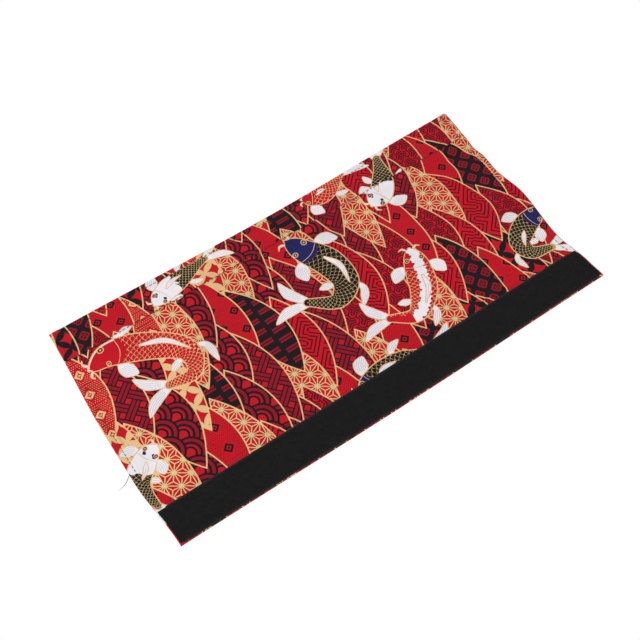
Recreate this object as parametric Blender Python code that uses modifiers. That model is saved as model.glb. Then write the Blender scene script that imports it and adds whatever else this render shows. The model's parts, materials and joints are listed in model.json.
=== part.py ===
"""Hook-and-loop fabric wrap, lying open and flat.

Two layers of printed cotton are sewn together and closed by two tapes: a loop tape on top of the near edge and a
hook tape under the far edge. The far edge swings down, round a pipe or a handle, and under and up to the near edge,
so that its hooks land on the loops and the printed side faces out.

The cloth between the two taped bands is cut into staves, so that the wrap can curl. Every hinge line lies on the
underside of the cloth, where the gap between two staves opens as the wrap closes.

X runs along the length, Y across the width towards the hook edge, and Z is up. The origin is the middle of the
underside of the middle stave, which lies on the floor.
"""
import math

import bpy

# ---- Driving dimensions, in metres ----
PANEL_LENGTH = 0.320          # along the tapes
STAVE_WIDTH = 0.0164          # one bending stave, hinge line to hinge line
STAVES_EACH_SIDE = 3          # staves on either side of the middle one
OUTER_CLOTH = 0.0004          # printed outer layer
LINING_CLOTH = 0.0004         # back layer
CLEARANCE = 0.0003            # between neighbouring solids
TAPE_WIDTH = 0.025
LOOP_THICKNESS = 0.0014       # loop tape with its pile
HOOK_THICKNESS = 0.0014       # hook tape with its hooks
LOOP_EDGE_MARGIN = 0.001      # printed cloth left showing outside the loop tape
LOOP_INNER_MARGIN = 0.001     # from the loop tape's inner edge to the first hinge line
HOOK_EDGE_MARGIN = 0.002      # from the far edge of the cloth to the hook tape
HOOK_INNER_MARGIN = 0.001     # from the hook tape's inner edge to the last hinge line
TAPE_END_MARGIN = 0.001       # the tapes stop this far inside the ends of the cloth
LINING_PEEP = 0.0008          # the lining shows this far past the outer layer at the right end
HEM_INSET = 0.004             # hem stitching in from each end of the cloth
TAPE_SEAM_INSET = 0.002       # stitching in from each edge of a tape
THREAD_RADIUS = 0.0002
THREAD_SIDES = 8
STITCH_END_GAP = 0.0006       # a thread stops this far short of the edge of its panel
TAPE_EDGE_ROUND = 0.0003      # rounding of the woven edges of the tapes
LOOSE_THREAD_RADIUS = 0.00015

# ---- Sizes that follow ----
STAVES = 2 * STAVES_EACH_SIDE + 1
NEAR_BAND = LOOP_EDGE_MARGIN + TAPE_WIDTH + LOOP_INNER_MARGIN
FAR_BAND = HOOK_INNER_MARGIN + TAPE_WIDTH + HOOK_EDGE_MARGIN
FIRST_HINGE = -STAVES * STAVE_WIDTH / 2
LAST_HINGE = -FIRST_HINGE
NEAR_EDGE = FIRST_HINGE - NEAR_BAND
FAR_EDGE = LAST_HINGE + FAR_BAND
LEFT_END = -PANEL_LENGTH / 2
RIGHT_END = PANEL_LENGTH / 2
OUTER_RISE = LINING_CLOTH + CLEARANCE                 # underside of the outer layer above that of the lining
ON_TOP = OUTER_RISE + OUTER_CLOTH + CLEARANCE         # what lies on the outer layer, above the lining's underside
FAR_RISE = HOOK_THICKNESS + CLEARANCE                 # the hook tape lifts the far band by this much
HALF_GAP = CLEARANCE / 2

# ---- Colours: red, green, blue, then roughness ----
PRINT_RED = (0.50, 0.012, 0.025, 0.85)
LINING_RED = (0.33, 0.010, 0.020, 0.90)
TAPE_BLACK = (0.012, 0.012, 0.013, 0.95)
HOOK_BLACK = (0.015, 0.015, 0.016, 0.60)
THREAD_DARK = (0.030, 0.022, 0.026, 0.70)
THREAD_BLACK = (0.010, 0.010, 0.011, 0.70)
THREAD_GREY = (0.180, 0.180, 0.190, 0.70)


def clear_scene():
    """Remove whatever the scene holds."""
    for obj in list(bpy.data.objects):
        bpy.data.objects.remove(obj, do_unlink=True)


def new_collection(name):
    collection = bpy.data.collections.new(name)
    bpy.context.scene.collection.children.link(collection)
    return collection


def material(name, look):
    """A plain fabric material of one colour and roughness."""
    made = bpy.data.materials.new(name)
    made.use_nodes = True
    shader = made.node_tree.nodes["Principled BSDF"]
    shader.inputs["Base Color"].default_value = (look[0], look[1], look[2], 1.0)
    shader.inputs["Roughness"].default_value = look[3]
    shader.inputs["Metallic"].default_value = 0.0
    return made


def pivot(name, location, parent=None):
    """An empty on a hinge line. It carries the pieces of one moving body and the next pivot outwards."""
    empty = bpy.data.objects.new(name, None)
    empty.empty_display_size = STAVE_WIDTH / 2
    WRAP.objects.link(empty)
    empty["world"] = location
    attach(empty, parent, location)
    return empty


def attach(obj, parent, location):
    """Place obj at a world location, under its parent. No parent is turned, so the offsets simply add."""
    base = parent["world"] if parent else (0.0, 0.0, 0.0)
    obj.parent = parent
    obj.location = [location[i] - base[i] for i in range(3)]


def sheet(name, parent, look, span_x, span_y, heights, thickness, rounding=0.0):
    """A flat or ramped strip of cloth or tape: a plane made solid upwards.

    span_x and span_y hold its low and high edges, and heights its underside at those two Y edges.
    """
    width = span_y[1] - span_y[0]
    rise = heights[1] - heights[0]
    bpy.ops.mesh.primitive_plane_add(size=1.0)
    obj = bpy.context.object
    obj.name = name
    obj.data.name = name
    for vertex in obj.data.vertices:
        vertex.co.x *= span_x[1] - span_x[0]
        vertex.co.y *= math.hypot(width, rise)
    obj.rotation_euler.x = math.atan2(rise, width)
    centre = (sum(span_x) / 2, sum(span_y) / 2, sum(heights) / 2)
    finish(obj, parent, centre, name, look)
    solid = obj.modifiers.new("thickness", "SOLIDIFY")
    solid.thickness = thickness
    solid.offset = 1.0
    if rounding:
        bevel = obj.modifiers.new("woven edge", "BEVEL")
        bevel.width = rounding
        bevel.segments = 2
    return obj


def thread(name, parent, look, points, radius):
    """Sewing thread along a line of points: a curve with a round bevel and closed ends."""
    curve = bpy.data.curves.new(name, "CURVE")
    curve.dimensions = "3D"
    curve.bevel_depth = radius
    curve.bevel_resolution = THREAD_SIDES // 4
    curve.use_fill_caps = True
    line = curve.splines.new("POLY")
    line.points.add(len(points) - 1)
    start = points[0]
    for point, place in zip(line.points, points):
        point.co = (place[0] - start[0], place[1] - start[1], place[2] - start[2], 1.0)
    obj = bpy.data.objects.new(name, curve)
    finish(obj, parent, start, name, look)
    return obj


def finish(obj, parent, location, name, look):
    """File a piece under the wrap, place it and give it its own material."""
    for collection in list(obj.users_collection):
        collection.objects.unlink(obj)
    WRAP.objects.link(obj)
    attach(obj, parent, location)
    obj.data.materials.append(material(name, look))


def cloth_layers(label, parent, span_y, heights):
    """The lining and the printed layer above it, over one stave or band."""
    sheet("lining_" + label, parent, LINING_RED, (LEFT_END, RIGHT_END), span_y, heights, LINING_CLOTH)
    raised = [height + OUTER_RISE for height in heights]
    sheet("outer_" + label, parent, PRINT_RED, (LEFT_END, RIGHT_END - LINING_PEEP), span_y, raised, OUTER_CLOTH)


def hem_threads(label, parent, span_y, heights):
    """The two lines of hem stitching, one near each end of the cloth, on top of one stave or band."""
    width = span_y[1] - span_y[0]
    slope = (heights[1] - heights[0]) / width
    low = span_y[0] + STITCH_END_GAP
    high = span_y[1] - STITCH_END_GAP
    for side, x in (("left", LEFT_END + HEM_INSET), ("right", RIGHT_END - LINING_PEEP - HEM_INSET)):
        line = []
        for y in (low, high):
            base = heights[0] + slope * (y - span_y[0])
            line.append((x, y, base + ON_TOP + THREAD_RADIUS))
        thread("hem_thread_" + side + "_" + label, parent, THREAD_DARK, line, THREAD_RADIUS)


def tape_thread(name, parent, look, y, z):
    """One line of stitching along a tape."""
    low = LEFT_END + TAPE_END_MARGIN + STITCH_END_GAP
    high = RIGHT_END - LINING_PEEP - TAPE_END_MARGIN - STITCH_END_GAP
    thread(name, parent, look, [(low, y, z), (high, y, z)], THREAD_RADIUS)


def stave(number, parent):
    """One bending stave. The last one before the far band climbs from the floor on to the hook tape's level."""
    low = FIRST_HINGE + (number - 1) * STAVE_WIDTH + HALF_GAP
    high = FIRST_HINGE + number * STAVE_WIDTH - HALF_GAP
    end_height = FAR_RISE if number == STAVES else 0.0
    cloth_layers(str(number), parent, (low, high), (0.0, end_height))
    hem_threads(str(number), parent, (low, high), (0.0, end_height))


def near_band(parent):
    """The near band, with the loop tape sewn on top of it."""
    cloth_layers("near", parent, (NEAR_EDGE, FIRST_HINGE - HALF_GAP), (0.0, 0.0))
    tape_low = NEAR_EDGE + LOOP_EDGE_MARGIN
    tape_high = tape_low + TAPE_WIDTH
    span_x = (LEFT_END + TAPE_END_MARGIN, RIGHT_END - LINING_PEEP - TAPE_END_MARGIN)
    sheet("loop_tape", parent, TAPE_BLACK, span_x, (tape_low, tape_high), (ON_TOP, ON_TOP),
          LOOP_THICKNESS, TAPE_EDGE_ROUND)
    seam_height = ON_TOP + LOOP_THICKNESS + CLEARANCE + THREAD_RADIUS
    for side, y in (("outer", tape_low + TAPE_SEAM_INSET), ("inner", tape_high - TAPE_SEAM_INSET)):
        tape_thread("loop_seam_" + side, parent, THREAD_BLACK, y, seam_height)


def far_band(parent):
    """The far band, with the hook tape sewn under it and both its seams showing on the print."""
    span_y = (LAST_HINGE + HALF_GAP, FAR_EDGE)
    heights = (FAR_RISE, FAR_RISE)
    cloth_layers("far", parent, span_y, heights)
    hem_threads("far", parent, span_y, heights)
    tape_low = LAST_HINGE + HOOK_INNER_MARGIN
    tape_high = tape_low + TAPE_WIDTH
    span_x = (LEFT_END + TAPE_END_MARGIN, RIGHT_END - LINING_PEEP - TAPE_END_MARGIN)
    sheet("hook_tape", parent, HOOK_BLACK, span_x, (tape_low, tape_high), (0.0, 0.0),
          HOOK_THICKNESS, TAPE_EDGE_ROUND)
    # These seams cross over the hem stitching, so they lie one thread and one clearance above it.
    seam_height = FAR_RISE + ON_TOP + 2 * THREAD_RADIUS + CLEARANCE + THREAD_RADIUS
    for side, y in (("outer", tape_high - TAPE_SEAM_INSET), ("inner", tape_low + TAPE_SEAM_INSET)):
        tape_thread("hook_seam_" + side, parent, THREAD_DARK, y, seam_height)


def loose_threads(left_parent, right_parent):
    """Two uncut thread ends: a long one out of the left hem and a short one at the far right corner."""
    hem_low = OUTER_RISE + OUTER_CLOTH + CLEARANCE + LOOSE_THREAD_RADIUS
    floor = LOOSE_THREAD_RADIUS
    left_y = FIRST_HINGE + 1.5 * STAVE_WIDTH
    left = [
        (LEFT_END + 0.0024, left_y + 0.0040, hem_low),
        (LEFT_END + 0.0008, left_y + 0.0032, hem_low),
        (LEFT_END - 0.0012, left_y + 0.0018, hem_low - 0.0004),
        (LEFT_END - 0.0036, left_y - 0.0004, floor + 0.0004),
        (LEFT_END - 0.0060, left_y - 0.0024, floor),
        (LEFT_END - 0.0082, left_y - 0.0038, floor),
    ]
    thread("loose_thread_left", left_parent, THREAD_GREY, left, LOOSE_THREAD_RADIUS)
    right_high = FAR_RISE + hem_low
    right = [
        (RIGHT_END - 0.0022, FAR_EDGE - 0.0010, right_high),
        (RIGHT_END - 0.0004, FAR_EDGE - 0.0002, right_high),
        (RIGHT_END + 0.0012, FAR_EDGE + 0.0004, right_high - 0.0005),
    ]
    thread("loose_thread_right", right_parent, THREAD_DARK, right, LOOSE_THREAD_RADIUS)


def build():
    """Build outwards from the middle stave, so that each pivot is carried by the one before it."""
    middle = STAVES_EACH_SIDE + 1
    pivots = {middle: pivot("middle", (0.0, 0.0, 0.0))}
    for number in range(middle - 1, -1, -1):
        hinge = (0.0, FIRST_HINGE + number * STAVE_WIDTH, 0.0)
        pivots[number] = pivot("pivot_" + (str(number) if number else "near"), hinge, pivots[number + 1])
    for number in range(middle + 1, STAVES + 2):
        last = number == STAVES + 1
        hinge = (0.0, FIRST_HINGE + (number - 1) * STAVE_WIDTH, FAR_RISE if last else 0.0)
        pivots[number] = pivot("pivot_" + ("far" if last else str(number)), hinge, pivots[number - 1])
    for number in range(1, STAVES + 1):
        stave(number, pivots[number])
    near_band(pivots[0])
    far_band(pivots[STAVES + 1])
    loose_threads(pivots[2], pivots[STAVES + 1])


clear_scene()
WRAP = new_collection("hook_and_loop_wrap")
build()
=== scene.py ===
import json
import math

import bpy
import numpy as np
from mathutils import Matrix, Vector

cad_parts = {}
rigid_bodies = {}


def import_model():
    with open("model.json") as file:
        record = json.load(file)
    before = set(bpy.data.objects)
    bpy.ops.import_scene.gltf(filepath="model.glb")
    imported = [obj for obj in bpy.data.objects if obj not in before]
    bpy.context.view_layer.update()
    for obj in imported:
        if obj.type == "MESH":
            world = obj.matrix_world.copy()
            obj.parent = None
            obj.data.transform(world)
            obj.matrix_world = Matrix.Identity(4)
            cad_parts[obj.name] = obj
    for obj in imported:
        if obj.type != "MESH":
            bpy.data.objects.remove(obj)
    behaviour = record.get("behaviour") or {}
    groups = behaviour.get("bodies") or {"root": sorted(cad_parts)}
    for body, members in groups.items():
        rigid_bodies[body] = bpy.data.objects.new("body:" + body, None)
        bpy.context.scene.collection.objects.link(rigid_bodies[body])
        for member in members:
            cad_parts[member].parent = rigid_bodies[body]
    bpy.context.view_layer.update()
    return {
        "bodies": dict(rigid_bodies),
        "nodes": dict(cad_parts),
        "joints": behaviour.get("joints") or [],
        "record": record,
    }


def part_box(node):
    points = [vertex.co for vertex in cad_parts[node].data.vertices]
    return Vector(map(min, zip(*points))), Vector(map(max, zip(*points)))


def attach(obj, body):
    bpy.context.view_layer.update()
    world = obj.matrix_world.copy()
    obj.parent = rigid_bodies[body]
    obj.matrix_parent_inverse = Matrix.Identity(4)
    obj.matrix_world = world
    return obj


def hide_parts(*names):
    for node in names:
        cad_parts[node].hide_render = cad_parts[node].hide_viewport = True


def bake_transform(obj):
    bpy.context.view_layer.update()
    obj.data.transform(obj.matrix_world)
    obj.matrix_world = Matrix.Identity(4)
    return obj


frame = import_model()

MM = 0.001

LABELS = ["near"] + [str(n) for n in range(1, 8)] + ["far"]


# ---- Sizes read from the frame ----
def box_mm(node):
    """Lowest and highest corner of a CAD node."""
    low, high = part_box(node)
    return np.array(low) / MM, np.array(high) / MM


def middle(node, axis):
    return sum(corner[axis] for corner in box_mm(node)) / 2


HINGES = sorted(joint["pos_m"][1] / MM for joint in frame["joints"])
LEFT, NEAR = box_mm("outer_near")[0][:2]
RIGHT = box_mm("outer_near")[1][0]
LINING_RIGHT = box_mm("lining_near")[1][0]
FAR = box_mm("outer_far")[1][1]
LIFT = box_mm("lining_far")[0][2]  # the hook tape raises the far band by this
LOOP_LOW, LOOP_HIGH = box_mm("loop_tape")
HOOK_LOW, HOOK_HIGH = box_mm("hook_tape")
HOOK_SEAMS = [middle("hook_seam_" + side, 1) for side in ("inner", "outer")]
LOOP_SEAMS = [middle("loop_seam_" + side, 1) for side in ("inner", "outer")]
HEMS = [middle("hem_thread_%s_4" % side, 0) for side in ("left", "right")]

# ---- Sizes chosen for the looks ----
GRID = 0.3  # spacing of the printed cloth's points
BACK_STEP = int(3.0 / GRID)  # a back face has one column of points for so many on the front
LINING_GRID = (1.5, 1.0)  # spacing of the lining's points in X and in Y
LINING_INSET = 0.6  # the lining stops so far inside the turned edges of the print
EDGE_ROUND = 0.45  # radius of a turned edge
EDGE_STEPS = (0.0, 0.03, 0.11, 0.25)  # where the points over a turned edge lie
OVERLAP = 0.3  # how far a strip runs on beneath the next
SETTLE = 0.004  # how much lower its last row lies there
CLOTH = 0.45  # thickness of one layer of cotton
LINING_TOP = 0.50  # height of the lining's upper face
CLOTH_TOP = 1.0  # height of the printed face
HEM = 0.35  # how much thicker the turned hems are
TUCK = 5.0  # cloth hidden in the fold behind the hook tape's inner seam
TUCK_RISE = 0.45  # how far that fold stands up
TAPE_OVERHANG = 0.5  # how far the pile spreads past the loop tape's woven edge
WOVEN_BACK = 0.62  # thickness of the hook tape without its hooks
STITCH = 2.5  # length of one stitch
STITCH_PITCH = 3.0  # from the start of one stitch to the start of the next
STITCH_SINK = 0.35  # how far the ends of a stitch dip
ON_FACE = 0.16  # how far a stitch's middle stands above the printed face
ON_LINING = 0.15  # how far it lies above the lining's lower face, half sunk in it
THREAD = 0.19  # radius of the sewing thread
PILE_SEED = 5
CELL_SEED = 11

# How far each edge wanders: share of the way along it, then the distance outwards, or inwards below zero.
LEFT_WANDER = ((0, 0.8), (0.5, 4.0), (0.7, 4.1), (1, 0.3))
RIGHT_WANDER = ((0, -0.4), (0.21, -2.4), (0.27, -1.1), (0.36, -2.0), (0.5, 0.6), (0.76, -3.6), (0.92, -0.6),
                (1, 0.1))
FAR_WANDER = ((0, -0.2), (0.5, -3.0), (1, 0.0))
NEAR_WANDER = ((0, 0.0), (0.5, 1.1), (1, 0.0))


# ---- The print, in millimetres of flat cloth ----
# Each ink is a signed distance: above zero inside its shapes. Later shapes cover earlier ones.
INKS = ("crimson", "dark", "black", "gold", "olive", "white", "grey", "navy")
FAR_AWAY = 9.0  # a distance far from every edge
INK_REACH = 0.9  # distances are stored only so far from an edge
LINE = 0.42  # half width of the gold outlines


def fold(value, period):
    """Signed distance to the nearest multiple of period."""
    return (value + period / 2) % period - period / 2


def turn(x, y, degrees):
    """Coordinates on axes turned anticlockwise."""
    angle = math.radians(degrees)
    return x * math.cos(angle) + y * math.sin(angle), y * math.cos(angle) - x * math.sin(angle)


def nearest_on_triangles(x, y, side):
    """Offset from the nearest point of a triangular lattice, which has a lattice line along Y."""
    tall = side * math.sqrt(3)
    first = fold(x, tall), fold(y, side)
    second = fold(x + tall / 2, tall), fold(y + side / 2, side)
    nearer = np.hypot(*first) < np.hypot(*second)
    return np.where(nearer, first[0], second[0]), np.where(nearer, first[1], second[1])


def scale_radius(x, y, radius, rise):
    """Distance from the centre of the front scale, in rows of round scales that overlap upwards.

    rise is the height from row to row, as a share of the radius.
    """
    rise = radius * rise
    row = np.floor((y - radius) / rise) + 1
    found = np.full(x.shape, np.nan)
    for step in range(5):
        k = row + step
        centre = fold(x + (k % 2) * radius, 2 * radius)
        away = np.hypot(centre, y - k * rise)
        found = np.where(np.isnan(found) & (away < radius), away, found)
    return np.nan_to_num(found, nan=radius)


def waves(x, y):
    """Black arcs in round overlapping waves that open to the right."""
    u, v = turn(x, y, -68)
    radius = 11.0
    r = scale_radius(u, v, radius, 0.62)
    arcs = np.maximum(0.75 - np.abs(r - 6.9), 0.70 - np.abs(r - 3.9))
    return {"black": np.maximum(1.35 - (radius - r), arcs), "crimson": r - 5.4}


def stars(x, y):
    """Gold twelve-rayed stars. Their rays meet between them in threes."""
    a, b = nearest_on_triangles(*turn(x, y, -6), 9.6)
    r, angle = np.hypot(a, b), np.arctan2(b, a)
    rays = 0.32 - r * np.abs(np.sin(fold(angle, math.pi / 6)))
    return {"gold": np.maximum(rays, 1.05 - r), "dark": 2.7 - r}


def tripods(x, y):
    """Interlocked three-legged figures in dark lines."""
    a, b = nearest_on_triangles(*turn(x, y, 12), 9.6)
    legs = [np.where(along > 0, np.abs(across), np.hypot(along, across))
            for along, across in (turn(a, b, degrees) for degrees in (90, 210, 330))]
    reach = np.minimum(np.minimum(legs[0], legs[1]), legs[2])
    end = 4.4 - np.hypot(a, b)
    figure = 0.46 - np.abs(reach - 1.05)
    return {"dark": np.maximum(np.minimum(figure, end), 0.42 - np.abs(reach - 2.5)), "crimson": 0.7 - reach}


def petals(x, y, ink="black"):
    """Four petals about each point where round rings meet."""
    u, v = turn(x, y, 40)
    side = 10.6
    p, q = np.abs(fold(u, side)), np.abs(fold(v, side))
    far = np.minimum(np.hypot(side - p, q), np.hypot(p, side - q))
    return {ink: side * 0.72 - far}


def basket(x, y):
    """Bundles of bars woven over and under each other, with bare squares between."""
    u, v = turn(x, y, 42)
    side, half = 9.8, 2.75
    p, q = fold(u, side), fold(v, side)
    over = (np.round((u - p) / side) + np.round((v - q) / side)) % 2 > 0
    bundles = []
    for across, other, on_top in ((p, q, over), (q, p, ~over)):
        lines = np.maximum(0.45 - np.abs(np.abs(across) - half), 0.42 - np.abs(across))
        covered = half + 0.45 - np.abs(other)
        shapes = (lines, half - np.abs(across))
        bundles.append([np.where(on_top, shape, np.minimum(shape, -covered)) for shape in shapes])
    black, crimson = (np.maximum(*pair) for pair in zip(*bundles))
    return {"black": black, "crimson": crimson}


def keys(x, y):
    """Hooked lines, like a maze."""
    u, v = turn(x, y, 48)
    side = 9.9
    i, j = np.floor(u / side), np.floor(v / side)
    p = np.where((i + j) % 2 > 0, u % side, side - u % side)
    q = np.where(j % 2 > 0, v % side, side - v % side)
    return {"dark": 0.46 - np.abs(fold(np.maximum(p, q) - 0.8, 2.48))}


def dots(x, y, ink="black"):
    """Small square frames in a field of fine dots."""
    a, b = fold(x, 13.0), fold(y + 8.0 * (np.floor(x / 13.0 + 0.5) % 2), 16.0)
    frame = np.hypot(np.abs(a) + np.abs(b), 0.9)
    spots = 0.29 - np.hypot(fold(a + 0.7 * (np.floor(b / 1.4 + 0.5) % 2), 1.4), fold(b, 1.4))
    shapes = np.maximum(0.62 - np.abs(frame - 2.9) * 0.7, 0.75 - frame * 0.55)
    cluster = 5.6 - np.abs(np.abs(a) + np.abs(b) * 0.9 - 10.5)
    fine = np.minimum(spots, cluster)
    return {"gold": np.maximum(shapes, fine)} if ink == "gold" else {ink: shapes, "dark": fine}


def bars(x, y):
    """Pairs of short red bars on black."""
    column = np.floor(x / 11.8 + 0.5)
    q = fold(y + 4.2 * (column % 2), 8.4)
    red = np.minimum(4.5 - np.abs(fold(x, 11.8)), 0.68 - np.abs(np.abs(q) - 1.08))
    return {"black": -red, "crimson": 0 * x + 1}


def blooms(x, y):
    """Ring flowers on black."""
    u, v = turn(x, y, 38)
    a, b = fold(u, 9.2), fold(v, 9.2)
    r = np.hypot(a, b)
    ring = 0.66 - np.abs(r - 2.75 - 0.40 * np.cos(4 * np.arctan2(b, a) + math.pi))
    red = np.maximum(ring, 0.42 - np.abs(r - 0.95))
    return {"black": -red, "crimson": 0 * x + 1}


def gold_petals(x, y):
    return petals(x, y, "gold")


def gold_dots(x, y):
    return dots(x, y, "gold")


FILLS = (waves, keys, stars, basket, tripods, dots, petals, keys, waves, stars, bars, tripods, basket,
         gold_petals, keys, waves, dots, tripods, stars, blooms, basket, gold_dots, dots)


class Print:
    """The inked cloth on a grid of points."""

    def __init__(self, x, y):
        self.x, self.y = x, y
        self.ink = {name: np.full((len(y), len(x)), -FAR_AWAY) for name in INKS}

    def window(self, low, high):
        """The slices and grid coordinates of the points in a box, or None if it holds none."""
        i, k = np.searchsorted(self.x, (low[0], high[0]))
        j, m = np.searchsorted(self.y, (low[1], high[1]))
        if i >= k or j >= m:
            return None
        return ((slice(j, m), slice(i, k)), *np.meshgrid(self.x[i:k], self.y[j:m]))

    def paint(self, where, inside, inks):
        """Cover what lies inside a shape with the given inks, and leave bare red elsewhere in it."""
        for name in INKS:
            old = self.ink[name][where]
            new = inks.get(name, -FAR_AWAY)
            self.ink[name][where] = np.maximum(np.minimum(old, -inside), np.minimum(new, inside))

    def outline(self, where, inside, half=LINE, name="gold"):
        """A line of ink along the edge of a shape, over whatever is there."""
        line = half - np.abs(inside)
        for other in INKS:
            if other != name:
                self.ink[other][where] = np.minimum(self.ink[other][where], -line)
        self.ink[name][where] = np.maximum(self.ink[name][where], line)


def leaf(cloth, centre, tall, right, left, lean, fill):
    """One pointed wave cell: its right side bulges most, and it hides whatever was there."""
    reach = tall + 2
    found = cloth.window((centre[0] - reach, centre[1] - reach), (centre[0] + reach, centre[1] + reach))
    if not found:
        return
    where, x, y = found
    across, along = turn(x - centre[0], y - centre[1], lean)
    level = along / tall
    sides = []
    for side, bulge in ((1, right), (-1, left)):
        slope = 2 * bulge * level / tall
        sides.append((bulge * (1 - level ** 2) - side * across) / np.sqrt(1 + slope ** 2))
    inside = np.minimum(*sides)
    cloth.paint(where, inside, fill(x, y))
    cloth.outline(where, inside)


def wave_cells(cloth):
    """Leaf cells in columns. Those on the left mostly hide part of those on their right."""
    rng = np.random.default_rng(CELL_SEED)
    cells = []
    for column in range(-2, 22):
        for row in range(-1, 5):
            x = -176 + column * 16.5 + rng.uniform(-2.5, 2.5)
            y = -88 + row * 48 + (column % 2) * 24 + rng.uniform(-6, 6)
            cells.append((x + rng.uniform(-11, 11), x, y, FILLS[(column * 5 + row * 8) % len(FILLS)]))
    for _, x, y, fill in sorted(cells, key=lambda cell: -cell[0]):
        tall, right, left = rng.uniform(38, 47), rng.uniform(13, 17), rng.uniform(9, 13)
        leaf(cloth, (x, y), tall, right, left, rng.uniform(-3, 9), fill)


def smooth_line(points, count):
    """Points evenly spread in parameter along a Catmull-Rom curve through a few chosen ones."""
    p = np.array(points, float)
    p = np.vstack([2 * p[0] - p[1], p, 2 * p[-1] - p[-2]])
    out = []
    for u in np.linspace(0, len(p) - 3 - 1e-9, count):
        i, t = int(u), u % 1
        a, b, c, d = p[i:i + 4]
        square, cube = 2 * a - 5 * b + 4 * c - d, 3 * b - a - 3 * c + d
        out.append(0.5 * (2 * b + (c - a) * t + square * t ** 2 + cube * t ** 3))
    return np.array(out)


def along_line(line, x, y):
    """For each point: distance along the line and signed distance to its left. Then the line's length."""
    steps = np.diff(line, axis=0)
    lengths = np.hypot(*steps.T)
    starts = np.concatenate([[0], np.cumsum(lengths)])
    best = np.full(x.shape, 1e9)
    s, t = np.zeros(x.shape), np.zeros(x.shape)
    for (px, py), (dx, dy), length, start in zip(line[:-1], steps, lengths, starts):
        u = np.clip(((x - px) * dx + (y - py) * dy) / length ** 2, 0, 1)
        ax, ay = x - px - u * dx, y - py - u * dy
        away = np.hypot(ax, ay)
        nearer = away < best
        best = np.where(nearer, away, best)
        side = np.sign(dx * ay - dy * ax)
        s = np.where(nearer, start + u * length, s)
        t = np.where(nearer, side * away, t)
    return s, t, starts[-1]


def fin(cloth, points, wide, widest):
    """A white fin along a few points, widest at a share of its length, with grey rays and a gold edge."""
    line = smooth_line(points, 24)
    margin = wide + 1.5
    found = cloth.window(line.min(0) - margin, line.max(0) + margin)
    if not found:
        return
    where, x, y = found
    s, t, length = along_line(line, x, y)
    u = np.clip(s / length, 0, 1)
    rising, falling = np.clip(u / widest, 0, 1), np.clip((1 - u) / (1 - widest), 0, 1)
    half = wide * (0.35 + 0.65 * np.sin(math.pi / 2 * rising)) * falling ** 0.65
    inside = half - np.abs(t)
    rays = np.minimum(0.17 - np.abs(fold(t, 1.3)), np.minimum(inside - 0.5, (u - 0.3) * length))
    cloth.paint(where, inside, {"white": 0 * x + FAR_AWAY, "grey": rays})
    cloth.outline(where, inside, 0.26)


# The body's outline: share of its length, then share of its half width.
KOI_SIDE = smooth_line([(0, 0.12), (0.03, 0.42), (0.12, 0.78), (0.26, 0.97), (0.42, 1.0), (0.62, 0.80),
                        (0.82, 0.48), (1, 0.27)], 50)
# Fins: width, the share of the fin's length where it is widest, and its points. A point is a share of the
# body's length, then how far out and how far on it lies. All but the shares are in half widths of the body.
PAIRED_FINS = (
    (0.48, 0.62, ((0.24, 0.7, 0), (0.26, 1.4, 0.1), (0.30, 1.9, 0.5))),
    (0.26, 0.62, ((0.62, 0.6, 0), (0.66, 1.15, 0.1), (0.72, 1.5, 0.3))),
    (0.36, 0.62, ((0.97, 0, 0), (1, 0.35, 0.6), (1, 0.75, 1.3), (1, 1.5, 1.9))),
    (0.07, 0.4, ((0.03, 0.2, 0), (0, 0.5, -0.15), (0, 0.8, -0.05))),
)
BACK_FIN = (0.2, 0.4, ((0.34, 0.15, 0), (0.46, 0.35, 0), (0.62, 0.25, 0)))


def koi_inks(kind, s, t, length, half_width, inside):
    """A koi's colours at s along its spine and t to its left. Bare red cloth shows where there is no ink."""
    shrink = 1 - 0.5 * (s / length)
    scale = half_width * 0.27
    size = scale * shrink
    ring = scale_radius(t / size, length / 0.5 * np.log(shrink) / scale, 1.0, 0.85)
    net = 0.32 - (1 - ring) * size
    scaled = s - length * (0.24 + 0.02 * np.cos(t / half_width * 3))
    if kind == "olive":
        inks = {"olive": np.minimum(net, scaled), "navy": -scaled, "black": np.minimum(-net, scaled)}
    elif kind == "white":
        inks = {"olive": net, "black": -net}
    else:
        inks = {"gold": np.minimum(net, scaled)}
    if kind in ("red", "olive"):
        inks["white"] = np.minimum(np.minimum(1.1 - inside, 0.20 * length - s), t + 0.2 * half_width)
        return inks
    ragged = np.sin(s * 0.9) * np.cos(t * 0.7 + 1) + 0.5 * np.sin(s * 2.1 + t)
    patch = (half_width * 0.38 - np.abs(t - 1.5) if kind == "patched" else 0.45 * length - s) + ragged
    inks = {name: np.minimum(value, -patch) for name, value in inks.items()}
    inks["white"] = np.minimum(patch, 0.78 * length - s)
    if kind == "white":
        inks["navy"] = 1.4 + 0.8 * ragged - np.hypot(s - 0.15 * length, np.abs(t) - half_width * 0.45)
    return inks


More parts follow.
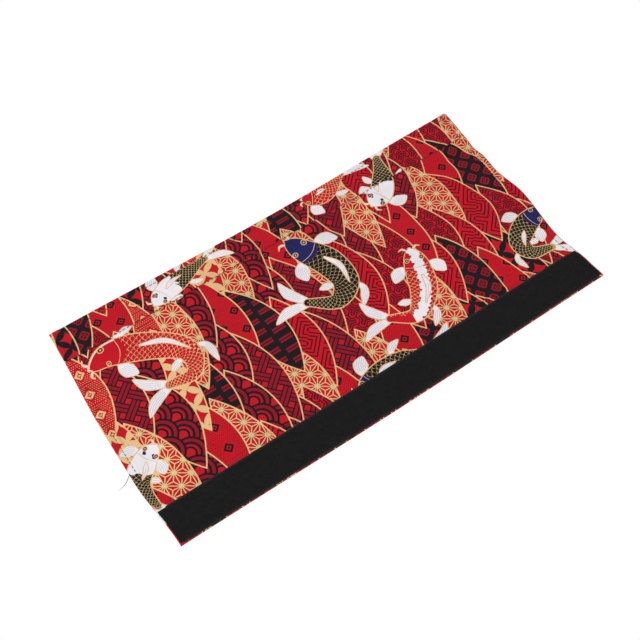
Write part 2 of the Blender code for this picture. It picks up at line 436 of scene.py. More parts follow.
def koi(cloth, spine, half_width, kind):
    """One carp seen from above: fins and whiskers first, then the body over them and the back fin on top."""
    line = smooth_line(spine, 60)
    ahead = np.gradient(line, axis=0)
    ahead /= np.hypot(*ahead.T)[:, None]
    left = np.stack([-ahead[:, 1], ahead[:, 0]], axis=1)

    def grow_fin(side, wide, widest, points):
        places = []
        for share, out, on in points:
            i = int(share * (len(line) - 1))
            places.append(line[i] + half_width * (left[i] * side * out + ahead[i] * on))
        fin(cloth, places, half_width * wide, widest)

    for side in (1, -1):
        for shape in PAIRED_FINS:
            grow_fin(side, *shape)
    found = cloth.window(line.min(0) - half_width - 2, line.max(0) + half_width + 2)
    if not found:
        return
    where, x, y = found
    s, t, length = along_line(line, x, y)
    inside = half_width * np.interp(s / length, *KOI_SIDE.T) - np.abs(t)
    cloth.paint(where, inside, koi_inks(kind, s, t, length, half_width, inside))
    iris = "navy" if kind in ("olive", "white") else "dark"
    for side in (1, -1):
        eye = np.hypot(s - length * 0.12, t - side * half_width * 0.55)
        for radius, ink in ((0.20, "gold"), (0.14, iris), (0.06, "gold")):
            cloth.paint(where, np.minimum(half_width * radius - eye, inside), {ink: 0 * x + FAR_AWAY})
    gill = length * (0.20 + 0.02 * np.cos(t / half_width * 2)) - s
    cloth.outline(where, np.where(inside > 0.8, gill, FAR_AWAY), 0.22)
    cloth.outline(where, inside, 0.34)
    grow_fin(1, *BACK_FIN)


# Each koi: its kind, the body's half width, and points along its spine from head to tail.
SHOAL = (
    ("red", 10.0, [(-149, 48), (-132, 50), (-108, 40), (-91, 24), (-95, 8), (-112, 9)]),
    ("white", 8.5, [(-93, 70), (-80, 76), (-64, 80), (-48, 84)]),
    ("white", 8.0, [(-138, -22), (-149, -27), (-158, -38), (-157, -56)]),
    ("olive", 10.5, [(4, 57), (11, 44), (19, 26), (19, 8), (6, -1), (-10, 9)]),
    ("patched", 9.5, [(68, 5), (64, -10), (57, -27), (43, -38), (27, -31)]),
    ("white", 9.5, [(70, 49), (81, 55), (89, 68), (95, 86)]),
    ("olive", 8.5, [(163, -20), (146, -24), (134, -33), (136, -44), (150, -48)]),
    ("olive", 10.0, [(-20, -65), (-3, -62), (15, -60), (33, -64)]),
    ("red", 9.0, [(32, 88), (48, 83), (66, 90)]),
)


def printed_cloth(x, y):
    """Every ink's distances at the flat places x by y."""
    cloth = Print(x, y)
    wave_cells(cloth)
    for kind, half_width, spine in SHOAL:
        koi(cloth, spine, half_width, kind)
    return cloth.ink


# ---- The shape of the cloth ----
def eased(share, points):
    """Smooth curve through a few (place, value) points."""
    places, values = np.array(points, float).T
    i = np.clip(np.searchsorted(places, share, side="right") - 1, 0, len(places) - 2)
    t = np.clip((share - places[i]) / (places[i + 1] - places[i]), 0, 1)
    return values[i] + (values[i + 1] - values[i]) * t * t * (3 - 2 * t)


def step_up(value, low, high):
    """0 below low, 1 above high and smooth between."""
    t = np.clip((value - low) / (high - low), 0, 1)
    return t * t * (3 - 2 * t)


def bump_at(value, place, width):
    """1 at a place, falling to 0 on both sides of it."""
    return np.exp(-((value - place) / width) ** 2)


def wander(x, y):
    """Where a point of the ideal rectangle really lies, seen from above."""
    u = (x - LEFT) / (RIGHT - LEFT)
    v = (FAR - y) / (FAR - NEAR)
    out_x = x - eased(v, LEFT_WANDER) * (1 - u) ** 3 + eased(v, RIGHT_WANDER) * u ** 3
    far_pull = (1 - v / 0.11) * np.exp(-(v / 0.16) ** 2)
    out_y = y + eased(u, FAR_WANDER) * far_pull - eased(u, NEAR_WANDER) * v ** 4
    return out_x, out_y


def swell(x, y):
    """Slow ups and downs of cloth that lies loosely, none of them below nothing."""
    slow = np.sin(x / 31 + y / 47 + 0.6) * np.cos(y / 23 - x / 83) + 0.5 * np.sin(x / 17 - y / 29 + 2.1)
    past_loop_tape = step_up(y, LOOP_HIGH[1] + 2, LOOP_HIGH[1] + 22)
    before_far_band = 1 - step_up(y, HINGES[-1] - 26, HINGES[-1] - 6)
    return 0.55 * (slow + 1.5) * past_loop_tape * before_far_band


def lie(x, y):
    """How far both layers are raised: swells, the step up to the far band and the crease by the loop tape."""
    side = np.minimum(x - LEFT, RIGHT - x)
    z = swell(x, y) * step_up(side, 2, 30) + LIFT * step_up(y, HINGES[-1] - 9, HINGES[-1] + 0.5)
    fold_line = LOOP_HIGH[1] + 3.4 + 0.5 * np.sin(x / 21)
    return z + (0.50 + 0.25 * np.sin(x / 13 + 1)) * bump_at(y, fold_line, 1.0)


def cloth_top(x, y):
    """Height of the printed face: the layers, the turned hems, and what the stitching pulls in."""
    z = CLOTH_TOP + lie(x, y) + HEM * (1 - step_up(np.minimum(x - LEFT, RIGHT - x), 5.5, 7.0))
    for seam in HEMS:
        reach = np.abs(x - seam)
        z = z - 0.28 * bump_at(reach, 0, 0.8) * np.abs(np.cos(math.pi * y / STITCH_PITCH))
        z = z + 0.22 * np.sin(y / 1.9 + 1.3 * np.sin(y / 9)) * bump_at(reach, 0, 3.2)
    for seam in HOOK_SEAMS:
        z = z - 0.30 * bump_at(y, seam, 0.7)
        z = z + 0.16 * np.sin(x / 1.7 + 1.5 * np.sin(x / 11)) * bump_at(y, seam, 3.0)
    tuck = HOOK_SEAMS[0]
    return z + TUCK_RISE * step_up(y, tuck - 0.4, tuck + 0.1) * (1 - step_up(y, tuck + 2, tuck + 5))


def turned(distance):
    """How far a turned edge has dropped at a distance in from the edge."""
    t = np.clip(1 - distance / EDGE_ROUND, 0, 1)
    return EDGE_ROUND * (1 - np.sqrt(1 - t * t))


def spread(low, high, step):
    """Even places from low to high, about a step apart."""
    return np.linspace(low, high, max(2, int(round((high - low) / step)) + 1))


def with_edges(low, high, step):
    """Places from edge to edge, closer together over the turned edges."""
    edge = np.array(EDGE_STEPS)
    inner = spread(low + EDGE_ROUND, high - EDGE_ROUND, step)
    return np.concatenate([low + edge, inner, high - edge[::-1]])


def level(height):
    """A face at one height everywhere."""
    return lambda x, y: height + 0 * x


# ---- Mesh building ----
def mesh_object(name, vertices, groups, smooth, uv=None):
    """An object from arrays. Each group of faces is an array with a row for each face, or a list of lists."""
    corners, sizes = [], []
    for faces in groups:
        if isinstance(faces, np.ndarray):
            corners.append(faces.ravel())
            sizes.append(np.full(len(faces), faces.shape[1]))
        else:
            corners.append(np.concatenate([np.array(face) for face in faces]))
            sizes.append(np.array([len(face) for face in faces]))
    corners, sizes = np.concatenate(corners), np.concatenate(sizes)
    mesh = bpy.data.meshes.new(name)
    mesh.vertices.add(len(vertices))
    mesh.vertices.foreach_set("co", (vertices * MM).astype(np.float32).ravel())
    mesh.loops.add(len(corners))
    mesh.loops.foreach_set("vertex_index", corners.astype(np.int32))
    mesh.polygons.add(len(sizes))
    mesh.polygons.foreach_set("loop_start", (np.cumsum(sizes) - sizes).astype(np.int32))
    mesh.polygons.foreach_set("use_smooth", smooth)
    mesh.update(calc_edges=True)
    for layer, values in (uv or {}).items():
        made = mesh.uv_layers.new(name=layer)
        made.data.foreach_set("uv", values[corners].astype(np.float32).ravel())
    obj = bpy.data.objects.new(name, mesh)
    bpy.context.scene.collection.objects.link(obj)
    return obj


def shell(name, x, y, top, bottom, settle=0.0):
    """A closed sheet over the grid x by y. top and bottom give heights at flat places.

    The back face has fewer columns than the front. The front's last row can settle a little lower.
    """
    nx, ny = len(x), len(y)
    columns = np.unique(np.append(np.arange(0, nx, BACK_STEP), nx - 1))
    nc = len(columns)
    gx, gy = np.meshgrid(x, y)
    px, py = wander(gx, gy)
    front = np.stack([px, py, top(gx, gy)], axis=2).reshape(-1, 3)
    back_heights = bottom(gx[:, columns], gy[:, columns])
    back = np.stack([px[:, columns], py[:, columns], back_heights], axis=2).reshape(-1, 3)
    front[-nx:, 2] -= settle
    a = (np.arange(ny - 1)[:, None] * nx + np.arange(nx - 1)).ravel()
    front_faces = np.stack([a, a + 1, a + 1 + nx, a + nx], axis=1)
    base = nx * ny
    b = (base + np.arange(ny - 1)[:, None] * nc + np.arange(nc - 1)).ravel()
    back_faces = np.stack([b, b + nc, b + 1 + nc, b + 1], axis=1)
    rows = np.arange(ny - 1)
    low, low_back = rows * nx, base + rows * nc
    left_wall = np.stack([low, low + nx, low_back + nc, low_back], axis=1)
    high, high_back = low + nx - 1, low_back + nc - 1
    right_wall = np.stack([high, high_back, high_back + nc, high + nx], axis=1)
    end_walls = []
    last_row, last_back = (ny - 1) * nx, base + (ny - 1) * nc
    for i, (first, last) in enumerate(zip(columns[:-1], columns[1:])):
        end_walls.append([*range(last, first - 1, -1), base + i, base + i + 1])
        end_walls.append([*range(last_row + first, last_row + last + 1), last_back + i + 1, last_back + i])
    groups = [front_faces, back_faces, left_wall, right_wall, end_walls]
    smooth = np.ones(sum(len(faces) for faces in groups), bool)
    smooth[-len(end_walls):] = False
    # On the bake layout the front fills most of the square, and the back a narrow band above it.
    u, v = (gx - x[0]) / (x[-1] - x[0]), (gy - y[0]) / (y[-1] - y[0])
    front_uv = np.stack([0.01 + 0.98 * u, 0.01 + 0.88 * v], axis=2).reshape(-1, 2)
    back_uv = np.stack([0.01 + 0.98 * u[:, columns], 0.93 + 0.06 * v[:, columns]], axis=2).reshape(-1, 2)
    flat = np.stack([gx, gy], axis=2)
    weave_uv = np.concatenate([flat.reshape(-1, 2), flat[:, columns].reshape(-1, 2)])
    layers = {"flat_mm": weave_uv, "OFBake": np.concatenate([front_uv, back_uv])}
    return mesh_object(name, np.concatenate([front, back]), groups, smooth, layers)


def set_value(obj, name, front, missing):
    """Store one value for each point of the printed face, and a constant for the back."""
    values = np.full(len(obj.data.vertices), missing, np.float32)
    values[:front.size] = front.ravel()
    obj.data.attributes.new(name, "FLOAT", "POINT").data.foreach_set("value", values)


def tubes(name, paths, radius, sides=5, tips=False):
    """Many short round threads in one mesh, from an array with a row of points for each. tips taper them."""
    paths = np.asarray(paths, float)
    count, points = paths.shape[:2]
    ahead = np.gradient(paths, axis=1)
    ahead /= np.linalg.norm(ahead, axis=2, keepdims=True)
    up = np.zeros_like(ahead)
    up[..., 2] = 1
    steep = np.abs(ahead[..., 2]) > 0.9
    up[steep] = (1, 0, 0)
    across = np.cross(up, ahead)
    across /= np.linalg.norm(across, axis=2, keepdims=True)
    over = np.cross(ahead, across)
    thick = np.full(points, radius)
    if tips:
        thick = radius * np.clip(np.sin(math.pi * (np.arange(points) + 0.35) / (points - 0.3)), 0.35, 1)
    angle = 2 * math.pi * np.arange(sides) / sides
    ring = across[:, :, None] * np.cos(angle)[:, None] + over[:, :, None] * np.sin(angle)[:, None]
    vertices = (paths[:, :, None] + ring * thick[None, :, None, None]).reshape(-1, 3)
    starts = np.arange(count)[:, None, None] * points * sides
    i, k = np.arange(points - 1)[None, :, None] * sides, np.arange(sides)[None, None]
    after = (k + 1) % sides
    here, there = starts + i, starts + i + sides
    quads = np.stack([here + k, here + after, there + after, there + k], axis=-1).reshape(-1, 4)
    cap = starts[:, 0] + np.arange(sides)[::-1]
    end = starts[:, 0] + (points - 1) * sides + np.arange(sides)
    smooth = np.concatenate([np.ones(len(quads), bool), np.zeros(2 * count, bool)])
    return mesh_object(name, vertices, [quads, cap, end], smooth)


# ---- Materials ----
class Nodes:
    """Short names for building one material's nodes. A value may be a socket, or a constant."""

    def __init__(self, name):
        self.material = bpy.data.materials.new(name)
        self.material.use_nodes = True
        self.tree = self.material.node_tree
        self.shader = self.tree.nodes["Principled BSDF"]

    def add(self, kind, **settings):
        node = self.tree.nodes.new(kind)
        for key, value in settings.items():
            setattr(node, key, value)
        return node

    def link(self, source, target):
        self.tree.links.new(source, target)

    def put(self, value, socket):
        if isinstance(value, bpy.types.NodeSocket):
            self.link(value, socket)
        elif isinstance(value, tuple) and len(value) == 3 and len(socket.default_value) == 4:
            socket.default_value = (*value, 1.0)
        else:
            socket.default_value = value

    def math(self, operation, first, second=0.0):
        node = self.add("ShaderNodeMath", operation=operation)
        self.put(first, node.inputs[0])
        self.put(second, node.inputs[1])
        return node.outputs[0]

    def scale(self, value, low, high, to_low=0.0, to_high=1.0, soft=False):
        node = self.add("ShaderNodeMapRange", interpolation_type="SMOOTHSTEP" if soft else "LINEAR")
        for index, item in enumerate((value, low, high, to_low, to_high)):
            self.put(item, node.inputs[index])
        return node.outputs[0]

    def mix(self, share, first, second, blend="MIX"):
        node = self.add("ShaderNodeMix", data_type="RGBA", blend_type=blend)
        for value, socket in ((share, node.inputs[0]), (first, node.inputs[6]), (second, node.inputs[7])):
            self.put(value, socket)
        return node.outputs[2]

    def attribute(self, name):
        return self.add("ShaderNodeAttribute", attribute_name=name).outputs["Fac"]

    def flat(self):
        """Places on the flat cloth, which stay with it as it bends."""
        return self.add("ShaderNodeUVMap", uv_map="flat_mm").outputs[0]

    def object_mm(self):
        """Object coordinates, in millimetres."""
        node = self.add("ShaderNodeVectorMath", operation="SCALE")
        self.link(self.add("ShaderNodeTexCoord").outputs["Object"], node.inputs[0])
        node.inputs["Scale"].default_value = 1 / MM
        return node.outputs[0]

    def noise(self, place, scale, detail=2.0, rough=0.5):
        node = self.add("ShaderNodeTexNoise")
        self.link(place, node.inputs["Vector"])
        for key, value in (("Scale", scale), ("Detail", detail), ("Roughness", rough)):
            node.inputs[key].default_value = value
        return node.outputs["Fac"]

    def weave(self, place, pitch):
        """Height of a plain weave: two sets of threads that pass over and under each other."""
        parts = self.add("ShaderNodeSeparateXYZ")
        self.link(place, parts.inputs[0])
        turn_x = self.math("MULTIPLY", parts.outputs[0], math.pi / pitch)
        turn_y = self.math("MULTIPLY", parts.outputs[1], math.pi / pitch)
        over = self.math("MULTIPLY", self.math("SINE", turn_x), self.math("SINE", turn_y))
        rib_x = self.math("ABSOLUTE", self.math("COSINE", turn_x))
        rib_y = self.math("ABSOLUTE", self.math("COSINE", turn_y))
        chosen = self.add("ShaderNodeMix", data_type="FLOAT")
        self.put(self.scale(over, -0.35, 0.35), chosen.inputs[0])
        self.put(rib_x, chosen.inputs[2])
        self.put(rib_y, chosen.inputs[3])
        return chosen.outputs[0]

    def bump(self, height, strength, distance):
        node = self.add("ShaderNodeBump")
        node.inputs["Strength"].default_value = strength
        node.inputs["Distance"].default_value = distance * MM
        self.link(height, node.inputs["Height"])
        self.link(node.outputs[0], self.shader.inputs["Normal"])

    def finish(self, **sockets):
        for name, value in sockets.items():
            self.put(value, self.shader.inputs[name.replace("_", " ")])
        return self.material


GROUND_RED = (0.490, 0.006, 0.015)
INK_COLOURS = {
    "crimson": (0.260, 0.005, 0.016), "dark": (0.075, 0.002, 0.006), "black": (0.011, 0.007, 0.009),
    "gold": (0.690, 0.450, 0.215), "olive": (0.400, 0.340, 0.145), "white": (0.760, 0.730, 0.760),
    "grey": (0.450, 0.420, 0.480), "navy": (0.013, 0.016, 0.095),
}
HEM_COLOURS = ((0.020, 0.014, 0.018), (0.055, 0.045, 0.055))
HOOK_SEAM_COLOURS = ((0.020, 0.014, 0.018), (0.060, 0.050, 0.060))
LOOP_SEAM_COLOURS = ((0.006, 0.006, 0.0065), (0.015, 0.015, 0.016))
LOOP_TAPE_COLOURS = ((0.0065, 0.0064, 0.0066), (0.0100, 0.0096, 0.0097))
PILE_COLOURS = ((0.007, 0.007, 0.0072), (0.024, 0.023, 0.024))
HOOK_TAPE_COLOURS = ((0.010, 0.010, 0.011), (0.017, 0.017, 0.018))
HOOK_COLOURS = ((0.022, 0.022, 0.024), (0.060, 0.060, 0.064))
LEFT_THREAD_COLOURS = ((0.040, 0.040, 0.044), (0.11, 0.11, 0.12))
RIGHT_THREAD_COLOURS = ((0.03, 0.025, 0.03), (0.09, 0.085, 0.09))
SHINE = 0.12  # specular level of fabric, where a smooth surface has 0.5


def printed_cotton():
    """Red cotton with each ink laid over it, thread by thread, and a gold ink that shines."""
    n = Nodes("printed_cotton")
    place = n.flat()
    colour = GROUND_RED
    ragged = n.scale(n.noise(place, 2.2, 1.0), 0, 1, -0.10, 0.10)
    masks = {}
    for name in INKS:
        edge = n.math("ADD", n.attribute("ink_" + name), ragged)
        masks[name] = n.scale(edge, -0.07, 0.07, soft=True)
        colour = n.mix(masks[name], colour, INK_COLOURS[name])
    broad = n.scale(n.noise(place, 0.035, 3.0), 0.3, 0.7, 0.90, 1.04)
    fibre = n.scale(n.noise(place, 1.6, 4.0, 0.7), 0.25, 0.75, 0.90, 1.08)
    weave = n.weave(place, 0.42)
    # Random tone of the cotton, times painted shade that darkens the dips between the woven threads.
    shade = n.math("MULTIPLY", n.math("MULTIPLY", broad, fibre), n.scale(weave, 0, 1, 0.86, 1.03))
    colour = n.mix(1.0, colour, shade, "MULTIPLY")
    worn = n.math("MULTIPLY", n.attribute("wear"), n.scale(n.noise(place, 0.8, 4.0), 0.35, 0.75))
    colour = n.mix(n.math("MULTIPLY", worn, 0.22), colour, (0.45, 0.20, 0.18))
    n.bump(weave, 0.55, 0.07)
    shine = n.math("MULTIPLY", masks["gold"], 0.55)
    rough = n.scale(masks["gold"], 0, 1, 0.86, 0.46)
    return n.finish(Base_Color=colour, Roughness=rough, Metallic=shine, Specular_IOR_Level=SHINE)


def lining_cotton():
    """Dark red cotton, the print's ground colour seen from its back."""
    n = Nodes("lining_cotton")
    place = n.flat()
    blotch = n.scale(n.noise(place, 0.12, 4.0, 0.6), 0.35, 0.65)
    colour = n.mix(blotch, (0.250, 0.010, 0.020), (0.330, 0.016, 0.026))
    weave = n.weave(place, 0.45)
    # Painted shade: the colour is darker where the woven threads dip.
    colour = n.mix(1.0, colour, n.scale(weave, 0, 1, 0.75, 1.08), "MULTIPLY")
    specks = n.scale(n.noise(place, 1.9, 5.0, 0.8), 0.62, 0.75)
    colour = n.mix(n.math("MULTIPLY", specks, 0.35), colour, (0.55, 0.16, 0.15))
    n.bump(weave, 0.6, 0.08)
    return n.finish(Base_Color=colour, Roughness=0.92, Specular_IOR_Level=SHINE)


def tape_nylon(name, dark, light, pitch, rough):
    """Black woven nylon with a cloudy tone, specks of lint, a paler worn edge and a fuzzy surface."""
    n = Nodes(name)
    place = n.flat()
    weave = n.weave(place, pitch)
    cloud = n.scale(n.noise(place, 0.22, 5.0, 0.65), 0.3, 0.7)
    colour = n.mix(cloud, dark, light)
    # Painted shade: the colour is darker where the woven threads dip, and lighter on their crowns.
    colour = n.mix(1.0, colour, n.scale(weave, 0, 1, 0.6, 1.25), "MULTIPLY")
    lint = n.scale(n.noise(place, 1.1, 6.0, 0.85), 0.66, 0.74)
    colour = n.mix(n.math("MULTIPLY", lint, 0.45), colour, (0.16, 0.155, 0.15))
    colour = n.mix(n.math("MULTIPLY", n.attribute("wear"), 0.35), colour, (0.05, 0.05, 0.052))
    fuzz = n.math("ADD", weave, n.math("MULTIPLY", n.noise(place, 3.1, 5.0, 0.8), 1.6))
    n.bump(fuzz, 0.7, 0.10)
    return n.finish(Base_Color=colour, Roughness=rough, Specular_IOR_Level=SHINE)


def fibre(name, dark, light, rough):
    """Thread, pile or hooks: uneven strands, smoother where they are lighter."""
    n = Nodes(name)
    place = n.object_mm()
    strand = n.noise(place, 4.0, 3.0, 0.7)
    colour = n.mix(n.scale(strand, 0.3, 0.7), dark, light)
    n.bump(strand, 0.5, 0.05)
    rough = n.scale(strand, 0.3, 0.7, rough, rough * 0.8)
    return n.finish(Base_Color=colour, Roughness=rough, Specular_IOR_Level=2 * SHINE)


# ---- The pieces ----
def strip_ends():
    """The Y places where the cloth is divided: its two edges and the middle of each stave."""
    middles = [(low + high) / 2 for low, high in zip(HINGES[:-1], HINGES[1:])]
    return [NEAR, *middles, FAR]


def blend_over(obj):
    """Bake a strip's placement into its mesh."""
    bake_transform(obj)


def strip_nodes(k, prefix):
    """The CAD nodes that strip k replaces: those of body k, and on the last strip the last body's too."""
    names = [prefix + LABELS[k]]
    if k == len(HINGES) - 1:
        names.append(prefix + LABELS[k + 1])
    return names


def strip_rows(k, ends, step):
    """The Y places of strip k: close together at an edge of the cloth, and one past its end elsewhere."""
    edge = np.array(EDGE_STEPS)
    low, high = ends[k], ends[k + 1]
    first, last = k == 0, k == len(ends) - 2
    inner = spread(low + EDGE_ROUND * first, high - EDGE_ROUND * last, step)
    end = high - edge[::-1] if last else [high + OVERLAP]
    return np.concatenate([low + edge if first else [], inner, end])


def edge_distance(x, y, right):
    """Distance in from the nearest real edge of a layer, and from its turned edges alone."""
    turned_edges = np.minimum(np.minimum(x - LEFT, y - NEAR), FAR - y)
    return np.minimum(turned_edges, right - x), turned_edges


def outer_heights(x, y):
    """The printed face, with its edges turned down."""
    return cloth_top(x, y) - turned(edge_distance(x, y, RIGHT)[0])


def outer_underside(x, y):
    """The print's back: clear of the lining, and turned under along the left, near and far edges."""
    turned_in = 1 - step_up(edge_distance(x, y, RIGHT)[1], 0.35, 0.6)
    clear = np.maximum(cloth_top(x, y) - CLOTH, lie(x, y) + LINING_TOP + 0.02)
    return clear - (clear - lie(x, y) - 0.08) * turned_in


def lining_heights(x, y):
    return lie(x, y) + LINING_TOP - 0.7 * turned(LINING_RIGHT - x)


def lining_underside(x, y):
    return lie(x, y) + LINING_TOP - CLOTH


def cloth_strips():
    """The printed layer and the lining."""
    ends = strip_ends()
    rows = [strip_rows(k, ends, GRID) for k in range(len(ends) - 1)]
    x = with_edges(LEFT, RIGHT, GRID)
    lining_x = spread(LEFT + LINING_INSET, LINING_RIGHT - 0.3, LINING_GRID[0])
    lining_x = np.append(lining_x, [LINING_RIGHT - 0.1, LINING_RIGHT])
    all_rows = np.unique(np.concatenate(rows))
    ink = printed_cloth(x, all_rows + TUCK * (all_rows > HOOK_SEAMS[0]))
    look, back_look = printed_cotton(), lining_cotton()
    for k, y in enumerate(rows):
        settle = SETTLE * (k < len(rows) - 1)
        low, high = max(ends[k], NEAR + LINING_INSET), min(y[-1], FAR - LINING_INSET)
        lining_y = spread(low, high, LINING_GRID[1])
        under = shell("lining_strip_%d" % k, lining_x, lining_y, lining_heights, lining_underside, settle)
        under.data.materials.append(back_look)
        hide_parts(*strip_nodes(k, "lining_"))
        blend_over(under)
        cloth = shell("printed_strip_%d" % k, x, y, outer_heights, outer_underside, settle)
        chosen = np.searchsorted(all_rows, y)
        for name in INKS:
            stored = np.clip(ink[name][chosen], -INK_REACH, INK_REACH)
            set_value(cloth, "ink_" + name, stored, -INK_REACH)
        edge = edge_distance(*np.meshgrid(x, y), RIGHT)[0]
        set_value(cloth, "wear", 1 - step_up(edge, 0.1, 0.7), 0.0)
        cloth.data.materials.append(look)
        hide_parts(*strip_nodes(k, "outer_"))
        blend_over(cloth)


def laid_out(x, y, z):
    """Points at flat places and their heights, moved to where the cloth really lies."""
    return np.stack([*wander(x, y), z], axis=2)


def stitches(starts, stops, sink, height):
    """Paths of single stitches between pairs of flat places. Their ends dip by sink, or rise below zero."""
    t = np.linspace(0, 1, 6)[None, :, None]
    flat = np.asarray(starts)[:, None] * (1 - t) + np.asarray(stops)[:, None] * t
    x, y = flat[..., 0], flat[..., 1]
    return laid_out(x, y, height(x, y) - sink * (2 * t[..., 0] - 1) ** 4)


def stitch_places(low, high):
    """Where the stitches of a seam start."""
    count = int((high - low) / STITCH_PITCH)
    return low + STITCH_PITCH * (np.arange(count) + 0.5 * (1 - STITCH / STITCH_PITCH))


def on_face(x, y):
    return cloth_top(x, y) + ON_FACE


def on_lining(x, y):
    return lining_underside(x, y) + ON_LINING


def both_sides(starts, stops, front, back):
    """Paths of the same stitches on the front and on the back of what is sewn."""
    paths = [stitches(starts, stops, STITCH_SINK, front), stitches(starts, stops, -STITCH_SINK, back)]
    return np.concatenate(paths)


def hem_stitching():
    """Both hem lines, in one piece for each strip of cloth."""
    look = fibre("hem_thread", *HEM_COLOURS, 0.6)
    ends = strip_ends()
    places = stitch_places(LOOP_HIGH[1] + 1.5, FAR - 1.0)
    for k in range(len(ends) - 1):
        chosen = places[(places + STITCH / 2 >= ends[k]) & (places + STITCH / 2 < ends[k + 1])]
        starts = [(x, y) for x in HEMS for y in chosen]
        stops = [(x, y + STITCH) for x, y in starts]
        paths = both_sides(starts, stops, on_face, on_lining)
        sewn = tubes("hem_stitches_%d" % k, paths, THREAD, tips=True)
        sewn.data.materials.append(look)
        names = [name for side in ("left", "right") for name in strip_nodes(k, "hem_thread_%s_" % side)]
        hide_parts(*[name for name in names if not name.endswith("near")])
        blend_over(sewn)


def tape_stitching(name, seams, body, slot, colours, front, back):
    """The two seams of a tape, from end to end."""
    places = stitch_places(HOOK_LOW[0] + 0.6, HOOK_HIGH[0] - 0.6)
    starts = [(x, y) for y in seams for x in places]
    stops = [(x + STITCH, y) for x, y in starts]
    sewn = tubes(name, both_sides(starts, stops, front, back), THREAD, tips=True)
    sewn.data.materials.append(fibre(name, *colours, 0.6))
    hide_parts(*["%s_%s" % (slot, side) for side in ("inner", "outer")])
    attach(sewn, body)


def tape_wear(obj, x, y, low, high):
    """Mark the long edges of a tape as worn."""
    across = np.meshgrid(x, y)[1]
    set_value(obj, "wear", 1 - step_up(np.minimum(across - low, high - across), 0.3, 1.6), 0.0)


def loop_tape():
    """Brushed loop tape: a woven edge on each side and a raised pile between."""
    rng = np.random.default_rng(PILE_SEED)
    low, high = LOOP_LOW[1] - TAPE_OVERHANG, LOOP_HIGH[1]
    x = spread(LOOP_LOW[0] - TAPE_OVERHANG, LOOP_HIGH[0] + TAPE_OVERHANG, 0.6)
    y = spread(low, high, 0.5)
    rough = rng.normal(0, 1, (len(y), len(x)))
    rough = (rough + np.roll(rough, 1, 0) + np.roll(rough, 1, 1) + np.roll(rough, -1, 1)) / 4

    def top(px, py):
        edge = np.minimum(py - low, high - py)
        ends = np.minimum(px - x[0], x[-1] - px)
        pile = 0.25 + 0.95 * step_up(edge, 0.5, 1.5) * step_up(ends, 0, 0.6)
        dents = 0.16 * sum(bump_at(py, seam, 0.6) for seam in LOOP_SEAMS)
        return CLOTH_TOP + pile - dents + 0.10 * np.sin(px / 37 + 1)

    tape = shell("loop_tape_strip", x, y, lambda px, py: top(px, py) + 0.09 * rough, level(CLOTH_TOP + 0.02))
    tape_wear(tape, x, y, low, high)
    tape.data.materials.append(tape_nylon("loop_nylon", *LOOP_TAPE_COLOURS, 0.5, 0.95))
    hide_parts("loop_tape")
    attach(tape, "near_band")
    count = 9000
    centre_x = rng.uniform(x[0] + 0.4, x[-1] - 0.4, count)[:, None]
    centre_y = rng.uniform(low + 0.2, high - 0.3, count)[:, None]
    angle = rng.uniform(0, 2 * math.pi, count)[:, None]
    size = rng.uniform(0.22, 0.5, count)[:, None]
    lean = rng.uniform(-0.35, 0.35, count)[:, None]
    t = np.linspace(0, 1, 6)
    arch, sway = np.sin(math.pi * t), np.cos(math.pi * t)
    flat_x = centre_x + size * sway * np.cos(angle) + lean * size * arch
    flat_y = centre_y + size * sway * np.sin(angle)
    z = top(flat_x, flat_y) - 0.08 + arch * size * 0.9
    pile = tubes("loop_pile", laid_out(flat_x, flat_y, z), 0.035, sides=3)
    pile.data.materials.append(fibre("pile_fibre", *PILE_COLOURS, 0.8))
    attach(pile, "near_band")


# The line of one hook: how far along the tape, then how far up from the woven back.
HOOK_LINE = np.array([(0, 0.0), (0, -0.45), (0.06, -0.78), (0.26, -0.94), (0.44, -0.84), (0.47, -0.66)])


def hook_tape():
    """Woven tape under the far edge, with rows of small bent hooks pointing down."""
    low, high = HOOK_LOW[1], HOOK_HIGH[1]
    x, y = spread(HOOK_LOW[0], HOOK_HIGH[0], 1.5), spread(low, high, 1.0)
    base = LIFT - WOVEN_BACK
    tape = shell("hook_tape_strip", x, y, level(LIFT - 0.02), level(base))
    tape_wear(tape, x, y, low, high)
    tape.data.materials.append(tape_nylon("hook_nylon", *HOOK_TAPE_COLOURS, 0.6, 0.7))
    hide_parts("hook_tape")
    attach(tape, "far_band")
    pitch = 1.6
    along = np.arange(x[0] + 1.5, x[-1] - 1.5, pitch)
    hx, hy = np.meshgrid(along, np.arange(low + 1.8, high - 1.8, pitch * 0.85))
    row = np.arange(hx.shape[0])[:, None]
    hx = (hx + pitch / 2 * (row % 2)).ravel()
    # Two rows of hooks face one way along the tape, and the next two the other way.
    facing = np.where((row + 0 * hy.astype(int)) % 4 < 2, 1, -1).ravel()
    flat_x = hx[:, None] + facing[:, None] * HOOK_LINE[None, :, 0]
    flat_y = hy.ravel()[:, None] + 0 * flat_x
    z = base + 0.02 + HOOK_LINE[None, :, 1] + 0 * flat_x
    hooks = tubes("hooks", laid_out(flat_x, flat_y, z), 0.12, sides=4)
    hooks.data.materials.append(fibre("hook_nylon_hooks", *HOOK_COLOURS, 0.35))
    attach(hooks, "far_band")


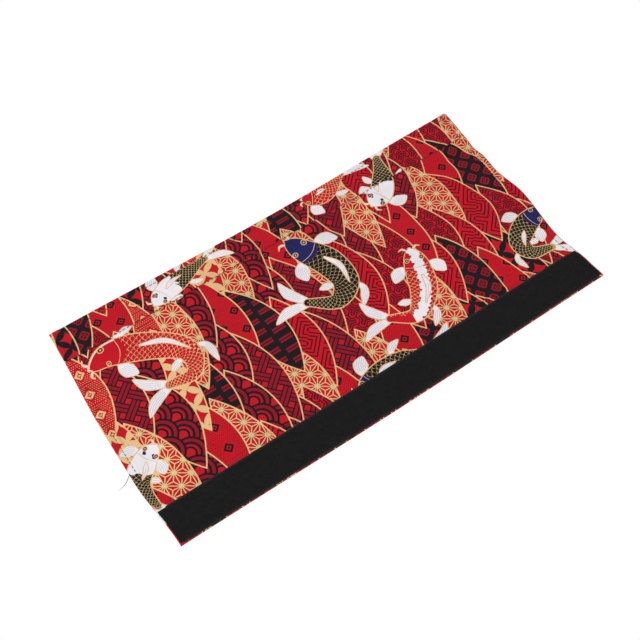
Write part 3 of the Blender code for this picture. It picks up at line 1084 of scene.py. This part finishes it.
def thread_end(name, node, points, radius, body, colours):
    """An uncut end of two-ply thread along a few chosen points."""
    line = np.array(points, float)
    share = np.linspace(0, len(line) - 1, 40)
    path = np.stack([np.interp(share, np.arange(len(line)), line[:, i]) for i in range(3)], axis=1)
    for _ in range(3):
        path[1:-1] = (path[:-2] + 2 * path[1:-1] + path[2:]) / 4
    twist = np.linspace(0, 14 * math.pi, len(path))
    ahead = np.gradient(path[:, :2], axis=0)
    across = np.stack([-ahead[:, 1], ahead[:, 0]], axis=1) / np.hypot(*ahead.T)[:, None]
    plies = []
    for phase in (0, math.pi):
        ply = path.copy()
        ply[:, :2] += across * (radius * 0.55 * np.cos(twist + phase))[:, None]
        ply[:, 2] += radius * 0.55 * (np.sin(twist + phase) + 1)
        plies.append(ply)
    end = tubes(name, plies, radius * 0.6, sides=6, tips=True)
    end.data.materials.append(fibre(name, *colours, 0.7))
    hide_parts(node)
    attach(end, body)


def loose_threads():
    y = (HINGES[1] + HINGES[2]) / 2
    edge = wander(np.array([LEFT]), np.array([y]))[0][0]
    low = 0.15
    points = [(edge + 1.6, y + 4.6, 1.1), (edge - 0.2, y + 3.6, 0.9), (edge - 1.6, y + 2.6, low),
              (edge - 4.0, y + 0.6, low), (edge - 7.0, y - 0.4, low), (edge - 9.6, y - 0.9, low)]
    thread_end("thread_end_left", "loose_thread_left", points, 0.22, "stave_2", LEFT_THREAD_COLOURS)
    top = CLOTH_TOP + LIFT
    corner = wander(np.array([RIGHT]), np.array([FAR]))
    cx, cy = corner[0][0], corner[1][0]
    points = [(cx - 2.6, cy - 2.4, top + 0.1), (cx - 0.6, cy - 2.2, top + 0.15),
              (cx + 1.0, cy - 1.9, top - 0.2), (cx + 2.2, cy - 1.4, top - 0.6)]
    thread_end("thread_end_right", "loose_thread_right", points, 0.14, "far_band", RIGHT_THREAD_COLOURS)


# ---- Studio ----
CAMERA_PLACE = (-0.1794, -0.2949, 0.5713)  # metres
CAMERA_TURN = (30.33, 2.19, -33.94)  # degrees about X, Y and Z
CAMERA_LENS = 57.69


def studio():
    """A white surround, one broad soft light, a pale floor and the camera.

    The floor is nearly clear, because the curled sleeve hangs below it and has to be seen from below.
    """
    scene = bpy.context.scene
    scene.view_settings.view_transform = "Standard"
    world = bpy.data.worlds.new("white_surround")
    world.use_nodes = True
    background = world.node_tree.nodes["Background"]
    background.inputs["Color"].default_value = (1, 1, 1, 1)
    background.inputs["Strength"].default_value = 1.0
    scene.world = world
    light = bpy.data.lights.new("soft_key", "AREA")
    light.energy = 5.0
    light.size = 0.9
    key = bpy.data.objects.new("soft_key", light)
    key.location = (-0.7, 0.5, 1.1)
    key.rotation_euler = (math.radians(-24), math.radians(-30), 0)
    scene.collection.objects.link(key)
    bpy.ops.mesh.primitive_plane_add(size=4.0)
    floor = bpy.context.object
    floor.name = "floor"
    n = Nodes("pale_floor")
    paper = n.noise(n.object_mm(), 0.02, 2.0)
    shade = n.mix(n.scale(paper, 0, 1), (0.93, 0.93, 0.93), (0.96, 0.96, 0.96))
    n.finish(Base_Color=shade, Roughness=0.9, Alpha=0.008, Specular_IOR_Level=0.0)
    floor.data.materials.append(n.material)
    floor.visible_shadow = False
    camera = bpy.data.objects.new("camera", bpy.data.cameras.new("camera"))
    camera.location = CAMERA_PLACE
    camera.rotation_euler = [math.radians(angle) for angle in CAMERA_TURN]
    camera.data.lens = CAMERA_LENS
    camera.data.sensor_width = 36.0
    camera.data.clip_start = 0.01
    scene.collection.objects.link(camera)
    scene.camera = camera


cloth_strips()
hem_stitching()
tape_stitching("hook_tape_stitches", HOOK_SEAMS, "far_band", "hook_seam", HOOK_SEAM_COLOURS,
               on_face, level(LIFT - WOVEN_BACK - 0.04))
tape_stitching("loop_tape_stitches", LOOP_SEAMS, "near_band", "loop_seam", LOOP_SEAM_COLOURS,
               level(CLOTH_TOP + 1.12), on_lining)
loop_tape()
hook_tape()
loose_threads()
studio()

bpy.context.view_layer.update()
